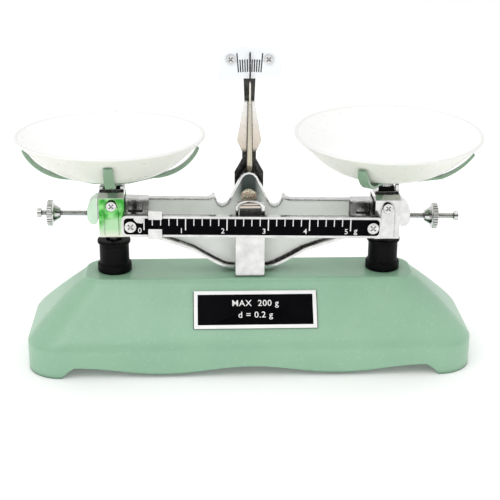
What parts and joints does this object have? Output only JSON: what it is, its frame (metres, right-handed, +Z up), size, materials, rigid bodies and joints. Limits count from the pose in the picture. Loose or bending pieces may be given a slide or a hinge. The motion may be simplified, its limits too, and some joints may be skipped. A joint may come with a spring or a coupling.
{
  "type": "equal arm balance scale",
  "caption": "Equal arm table balance with a rocking beam, two lift-off pans in strip cradles, a sliding rider and a pointer dial.",
  "frame": {"origin": "on the table, under the middle of the object", "axes": "+X to the right along the beam, +Y to the back, +Z up"},
  "size_m": [0.259, 0.1065, 0.1758],
  "materials": {
    "mint_paint": "satin orange-peel paint",
    "chrome": "polished plated casting",
    "steel": "bright turned steel",
    "black_plastic": "matte moulded",
    "white_plastic": "gloss moulded",
    "agate": "polished stone",
    "brass": "cast brass",
    "label_black": "printed plate",
    "dial_white": "printed plate"
  },
  "bodies": {
    "base": {"base_shell": "mint_paint", "rating_plate": "label_black", "left_sleeve": "black_plastic", "right_sleeve": "black_plastic", "column": "chrome", "column_screws": "steel", "centre_bearings": "agate", "dial_bracket": "chrome", "bracket_screws": "steel", "dial_plate": "dial_white", "dial_screws": "steel", "stay_bracket": "steel", "stay_bracket_screws": "steel", "stay_pivot_pin": "steel"},
    "beam": {"beam": "chrome", "centre_knife": "steel", "left_end_knife": "steel", "right_end_knife": "steel", "knife_boss": "brass", "pointer": "chrome", "pointer_screw": "steel", "scale_bar": "chrome", "scale_face": "label_black", "scale_screws": "steel", "left_rod": "steel", "right_rod": "steel", "rod_stops": "steel"},
    "left_nut": {"left_nut": "chrome"},
    "right_nut": {"right_nut": "chrome"},
    "rider": {"rider": "chrome"},
    "left_carrier": {"left_carrier": "chrome", "left_carrier_bearings": "agate", "left_carrier_screws": "steel", "left_stem": "steel", "left_post": "black_plastic", "left_saddle": "steel", "left_clamp_nut": "steel", "left_cradle": "mint_paint", "left_cross_strip": "mint_paint", "left_cradle_screw": "steel"},
    "right_carrier": {"right_carrier": "chrome", "right_carrier_bearings": "agate", "right_carrier_screws": "steel", "right_stem": "steel", "right_post": "black_plastic", "right_saddle": "steel", "right_clamp_nut": "steel", "right_cradle": "mint_paint", "right_cross_strip": "mint_paint", "right_cradle_screw": "steel"},
    "left_pan": {"left_pan": "white_plastic"},
    "right_pan": {"right_pan": "white_plastic"},
    "stay": {"stay_bar": "steel", "stay_end_pins": "steel"}
  },
  "joints": [
    {"name": "beam_rock", "type": "hinge", "parent": "base", "child": "beam", "pos_m": [0, 0, 0.088], "axis": [0, 1, 0], "range_deg": [-5.4, 3.6]},
    {"name": "left_carrier_swing", "type": "hinge", "parent": "beam", "child": "left_carrier", "pos_m": [-0.07699, 0, 0.08921], "axis": [0, 1, 0], "range_deg": [-3.6, 5.4]},
    {"name": "right_carrier_swing", "type": "hinge", "parent": "beam", "child": "right_carrier", "pos_m": [0.07699, 0, 0.08679], "axis": [0, 1, 0], "range_deg": [-3.6, 5.4]},
    {"name": "stay_rock", "type": "hinge", "parent": "base", "child": "stay", "pos_m": [0, 0, 0.022], "axis": [0, 1, 0], "range_deg": [-5.4, 3.6]},
    {"name": "rider_slide", "type": "slide", "parent": "beam", "child": "rider", "axis": [0.9999, 0, -0.0157], "range_m": [-0.0024, 0.112]},
    {"name": "left_nut_turn", "type": "slide", "parent": "beam", "child": "left_nut", "axis": [-0.9999, 0, 0.0157], "range_m": [-0.0145, 0.0035]},
    {"name": "right_nut_turn", "type": "slide", "parent": "beam", "child": "right_nut", "axis": [0.9999, 0, -0.0157], "range_m": [-0.0085, 0.0095]},
    {"name": "left_pan_lift", "type": "slide", "parent": "left_carrier", "child": "left_pan", "axis": [0, 0, 1], "range_m": [0, 0.03]},
    {"name": "right_pan_lift", "type": "slide", "parent": "right_carrier", "child": "right_pan", "axis": [0, 0, 1], "range_m": [0, 0.03]}
  ],
  "couplings": [
    {"joint": "left_carrier_swing", "follows": "beam_rock", "ratio": -1},
    {"joint": "right_carrier_swing", "follows": "beam_rock", "ratio": -1},
    {"joint": "stay_rock", "follows": "beam_rock", "ratio": 1}
  ]
}
